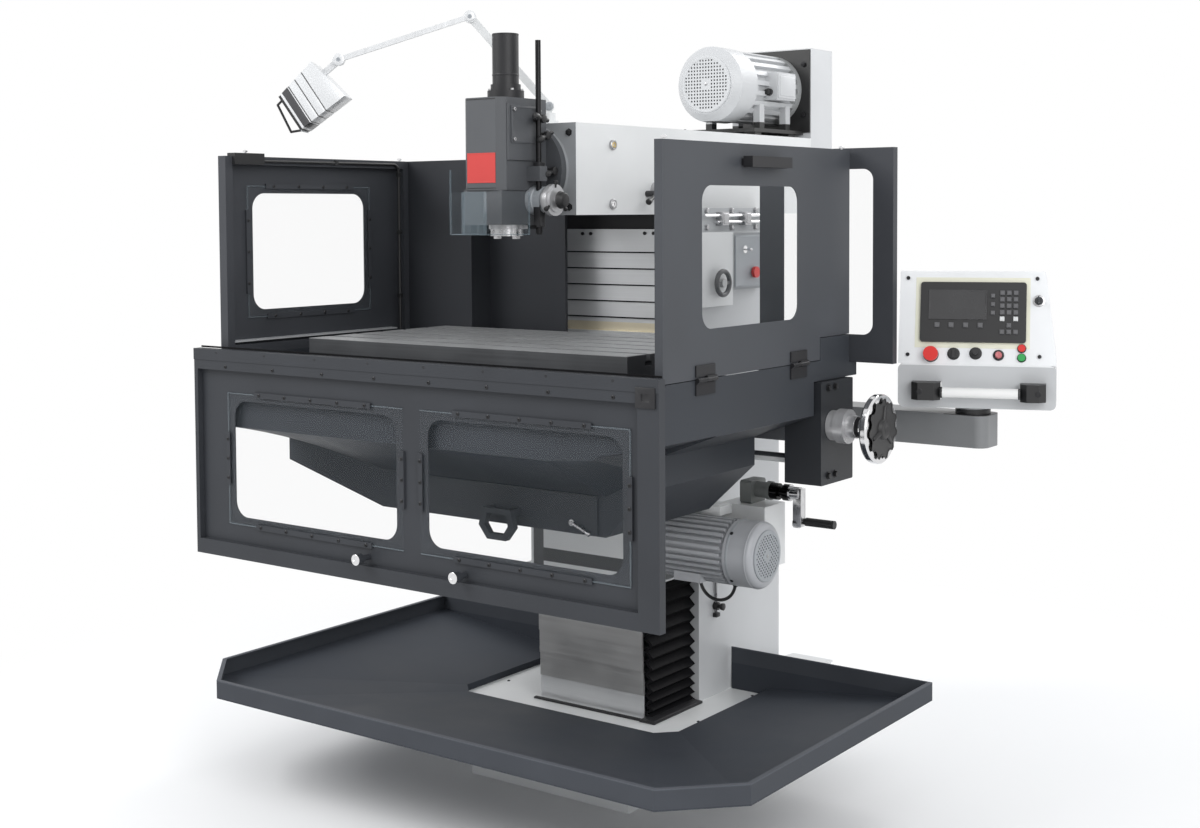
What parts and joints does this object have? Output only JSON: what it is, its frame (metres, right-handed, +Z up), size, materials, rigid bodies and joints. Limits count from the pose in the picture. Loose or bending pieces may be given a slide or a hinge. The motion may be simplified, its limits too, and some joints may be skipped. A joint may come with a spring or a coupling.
{
  "type": "universal milling machine",
  "caption": "Universal milling machine with knee, ram and swivelling head, sheet enclosure with sliding window door, splash tray and swing-out control panel",
  "frame": {"origin": "on the floor at the middle of the foot of the machine base", "axes": "+X to the operator's right, -Y towards the operator, +Z up; the foot rests on Z = 0"},
  "size_m": [2.1578, 2.041, 2.222],
  "materials": {
    "dark_paint": "textured dark grey paint",
    "white_paint": "smooth off-white paint",
    "grey_paint": "grey paint",
    "black_iron": "blackened cast iron",
    "steel": "ground steel",
    "chrome_part": "chrome plated",
    "black_plastic": "matt black plastic",
    "red_plastic": "red plastic",
    "green_plastic": "green plastic",
    "bellows_rubber": "black folded rubber cloth",
    "clear_pane": "clear polycarbonate",
    "alu": "plain aluminium"
  },
  "bodies": {
    "base": {"machine_base": "white_paint", "coolant_tray": "dark_paint", "column": "white_paint", "z_screw": "steel", "ram_guide": "black_iron", "side_controls": "white_paint", "side_bellows": "bellows_rubber", "fixed_laths": "grey_paint"},
    "knee_body": {"knee": "white_paint", "z_motor": "grey_paint", "crank_gearbox": "steel", "x_gearbox": "dark_paint", "chip_pan": "dark_paint", "left_wall": "dark_paint", "rear_wall": "dark_paint", "left_pane": "clear_pane", "interlock_cable": "black_plastic", "knee_laths": "grey_paint"},
    "upper_lath_body_1": {"upper_lath_1": "grey_paint"},
    "upper_lath_body_2": {"upper_lath_2": "grey_paint"},
    "upper_lath_body_3": {"upper_lath_3": "grey_paint"},
    "upper_lath_body_4": {"upper_lath_4": "grey_paint"},
    "lower_lath_body_1": {"lower_lath_1": "grey_paint"},
    "lower_lath_body_2": {"lower_lath_2": "grey_paint"},
    "lower_lath_body_3": {"lower_lath_3": "grey_paint"},
    "side_ring_body": {"side_ring": "black_plastic"},
    "side_button_body": {"side_button": "red_plastic"},
    "table_body": {"table": "dark_paint"},
    "wheel_body": {"x_handwheel": "chrome_part", "x_screw": "chrome_part"},
    "crank_body": {"z_crank": "chrome_part"},
    "grip_body": {"crank_grip": "black_plastic"},
    "door_body": {"front_door": "dark_paint", "door_panes": "clear_pane"},
    "flap_body": {"flap": "dark_paint", "flap_pane": "clear_pane"},
    "sash_body": {"rear_sash": "dark_paint", "sash_pane": "clear_pane"},
    "drawer_body": {"chip_drawer": "dark_paint"},
    "ram_body": {"ram": "white_paint", "belt_housing": "white_paint", "spindle_motor": "grey_paint"},
    "head_body": {"head": "dark_paint", "drawbar_cylinder": "black_iron"},
    "quill_body": {"quill": "steel"},
    "spindle_body": {"spindle": "steel"},
    "quill_wheel_body": {"quill_wheel": "chrome_part"},
    "guard_body": {"guard": "clear_pane"},
    "lamp_lower_body": {"lamp_lower": "white_paint"},
    "lamp_upper_body": {"lamp_upper": "alu"},
    "lamp_head_body": {"lamp_head": "alu"},
    "swing_body": {"panel_arm": "white_paint"},
    "panel_body": {"panel_housing": "white_paint", "readout": "black_plastic"},
    "e_stop_body": {"e_stop": "red_plastic"},
    "selector_body": {"selector": "black_plastic"},
    "joystick_body": {"joystick": "chrome_part"},
    "start_button_body": {"start_button": "green_plastic"},
    "stop_button_body": {"stop_button": "red_plastic"},
    "key_body": {"key": "alu"}
  },
  "joints": [
    {"name": "knee_slide", "type": "slide", "parent": "base", "child": "knee_body", "axis": [0, 0, 1], "range_m": [-0.25, 0.13], "deforming": ["side_bellows"]},
    {"name": "upper_lath_slide_1", "type": "slide", "parent": "base", "child": "upper_lath_body_1", "axis": [0, 0, 1], "range_m": [-0.05, 0.026]},
    {"name": "upper_lath_slide_2", "type": "slide", "parent": "base", "child": "upper_lath_body_2", "axis": [0, 0, 1], "range_m": [-0.1, 0.052]},
    {"name": "upper_lath_slide_3", "type": "slide", "parent": "base", "child": "upper_lath_body_3", "axis": [0, 0, 1], "range_m": [-0.15, 0.078]},
    {"name": "upper_lath_slide_4", "type": "slide", "parent": "base", "child": "upper_lath_body_4", "axis": [0, 0, 1], "range_m": [-0.2, 0.104]},
    {"name": "lower_lath_slide_1", "type": "slide", "parent": "base", "child": "lower_lath_body_1", "axis": [0, 0, 1], "range_m": [-0.0625, 0.0325]},
    {"name": "lower_lath_slide_2", "type": "slide", "parent": "base", "child": "lower_lath_body_2", "axis": [0, 0, 1], "range_m": [-0.125, 0.065]},
    {"name": "lower_lath_slide_3", "type": "slide", "parent": "base", "child": "lower_lath_body_3", "axis": [0, 0, 1], "range_m": [-0.1875, 0.0975]},
    {"name": "side_ring_turn", "type": "hinge", "parent": "base", "child": "side_ring_body", "pos_m": [0.28, 0.021, 1.449], "axis": [1, 0, 0], "range_deg": [-90, 90]},
    {"name": "side_button_press", "type": "slide", "parent": "base", "child": "side_button_body", "axis": [-1, 0, 0], "range_m": [0, 0.004], "stiffness_N_per_m": 500, "springref_m": -0.002},
    {"name": "table_slide", "type": "slide", "parent": "knee_body", "child": "table_body", "axis": [1, 0, 0], "range_m": [-0.145, 0.145]},
    {"name": "handwheel_turn", "type": "hinge", "parent": "knee_body", "child": "wheel_body", "pos_m": [0.9, -0.2, 1.088], "axis": [1, 0, 0], "continuous": true},
    {"name": "crank_turn", "type": "hinge", "parent": "knee_body", "child": "crank_body", "pos_m": [0.537, -0.018, 0.857], "axis": [1, 0, 0], "continuous": true},
    {"name": "grip_turn", "type": "hinge", "parent": "crank_body", "child": "grip_body", "pos_m": [0.637, -0.018, 0.779], "axis": [1, 0, 0], "continuous": true},
    {"name": "door_slide", "type": "slide", "parent": "knee_body", "child": "door_body", "axis": [0, 0, 1], "range_m": [0, 0.54]},
    {"name": "flap_hinge", "type": "hinge", "parent": "knee_body", "child": "flap_body", "pos_m": [0.768, -0.6, 1.263], "axis": [0, 1, 0], "range_deg": [0, 90]},
    {"name": "sash_slide", "type": "slide", "parent": "knee_body", "child": "sash_body", "axis": [1, 0, 0], "range_m": [-0.17, 0]},
    {"name": "drawer_slide", "type": "slide", "parent": "knee_body", "child": "drawer_body", "axis": [0, 1, 0], "range_m": [-0.18, 0]},
    {"name": "ram_slide", "type": "slide", "parent": "base", "child": "ram_body", "axis": [0, 1, 0], "range_m": [-0.05, 0.25]},
    {"name": "head_swivel", "type": "hinge", "parent": "ram_body", "child": "head_body", "pos_m": [0, -0.51, 1.776], "axis": [0, 1, 0], "range_deg": [-45, 45]},
    {"name": "quill_slide", "type": "slide", "parent": "head_body", "child": "quill_body", "axis": [0, 0, 1], "range_m": [-0.08, 0]},
    {"name": "spindle_turn", "type": "hinge", "parent": "quill_body", "child": "spindle_body", "pos_m": [0, -0.616, 1.6], "axis": [0, 0, 1], "continuous": true},
    {"name": "quill_wheel_turn", "type": "hinge", "parent": "head_body", "child": "quill_wheel_body", "pos_m": [0.12, -0.58, 1.693], "axis": [1, 0, 0], "continuous": true},
    {"name": "guard_hinge", "type": "hinge", "parent": "head_body", "child": "guard_body", "pos_m": [-0.1, -0.618, 1.7], "axis": [0, 0, 1], "range_deg": [-90, 0]},
    {"name": "lamp_base_hinge", "type": "hinge", "parent": "ram_body", "child": "lamp_lower_body", "pos_m": [0.02, -0.45, 1.955], "axis": [0.5906, -0.807, 0], "range_deg": [-60, 15]},
    {"name": "lamp_elbow", "type": "hinge", "parent": "lamp_lower_body", "child": "lamp_upper_body", "pos_m": [-0.15672, -0.57934, 2.205], "axis": [0.5906, -0.807, 0], "range_deg": [-60, 20]},
    {"name": "lamp_tilt", "type": "hinge", "parent": "lamp_upper_body", "child": "lamp_head_body", "pos_m": [-0.45288, -0.79609, 2.088], "axis": [0.5906, -0.807, 0], "range_deg": [-60, 60]},
    {"name": "panel_swing", "type": "hinge", "parent": "base", "child": "swing_body", "pos_m": [0.3, 0.18, 1.05], "axis": [0, 0, 1], "range_deg": [-5, 60]},
    {"name": "panel_swivel", "type": "hinge", "parent": "swing_body", "child": "panel_body", "pos_m": [1.012, 0.18, 1.11], "axis": [0, 0, 1], "range_deg": [0, 60]},
    {"name": "e_stop_press", "type": "slide", "parent": "panel_body", "child": "e_stop_body", "axis": [-0.3304, 0.9077, -0.2588], "range_m": [0, 0.0045], "stiffness_N_per_m": 600, "springref_m": -0.002},
    {"name": "selector_turn", "type": "hinge", "parent": "panel_body", "child": "selector_body", "pos_m": [0.984, 0.11075, 1.266], "axis": [0.3304, -0.9077, 0.2588], "range_deg": [-45, 45]},
    {"name": "joystick_turn", "type": "hinge", "parent": "panel_body", "child": "joystick_body", "pos_m": [1.03926, 0.13143, 1.268], "axis": [0.3304, -0.9077, 0.2588], "range_deg": [-30, 30]},
    {"name": "start_button_press", "type": "slide", "parent": "panel_body", "child": "start_button_body", "axis": [-0.3304, 0.9077, -0.2588], "range_m": [0, 0.004], "stiffness_N_per_m": 400, "springref_m": -0.002},
    {"name": "stop_button_press", "type": "slide", "parent": "panel_body", "child": "stop_button_body", "axis": [-0.3304, 0.9077, -0.2588], "range_m": [0, 0.004], "stiffness_N_per_m": 400, "springref_m": -0.002},
    {"name": "key_turn", "type": "hinge", "parent": "panel_body", "child": "key_body", "pos_m": [1.1812, 0.22387, 1.411], "axis": [0.3304, -0.9077, 0.2588], "range_deg": [-90, 0]}
  ],
  "couplings": [
    {"joint": "upper_lath_slide_1", "follows": "knee_slide", "ratio": 0.2},
    {"joint": "upper_lath_slide_2", "follows": "knee_slide", "ratio": 0.4},
    {"joint": "upper_lath_slide_3", "follows": "knee_slide", "ratio": 0.6},
    {"joint": "upper_lath_slide_4", "follows": "knee_slide", "ratio": 0.8},
    {"joint": "lower_lath_slide_1", "follows": "knee_slide", "ratio": 0.25},
    {"joint": "lower_lath_slide_2", "follows": "knee_slide", "ratio": 0.5},
    {"joint": "lower_lath_slide_3", "follows": "knee_slide", "ratio": 0.75}
  ]
}
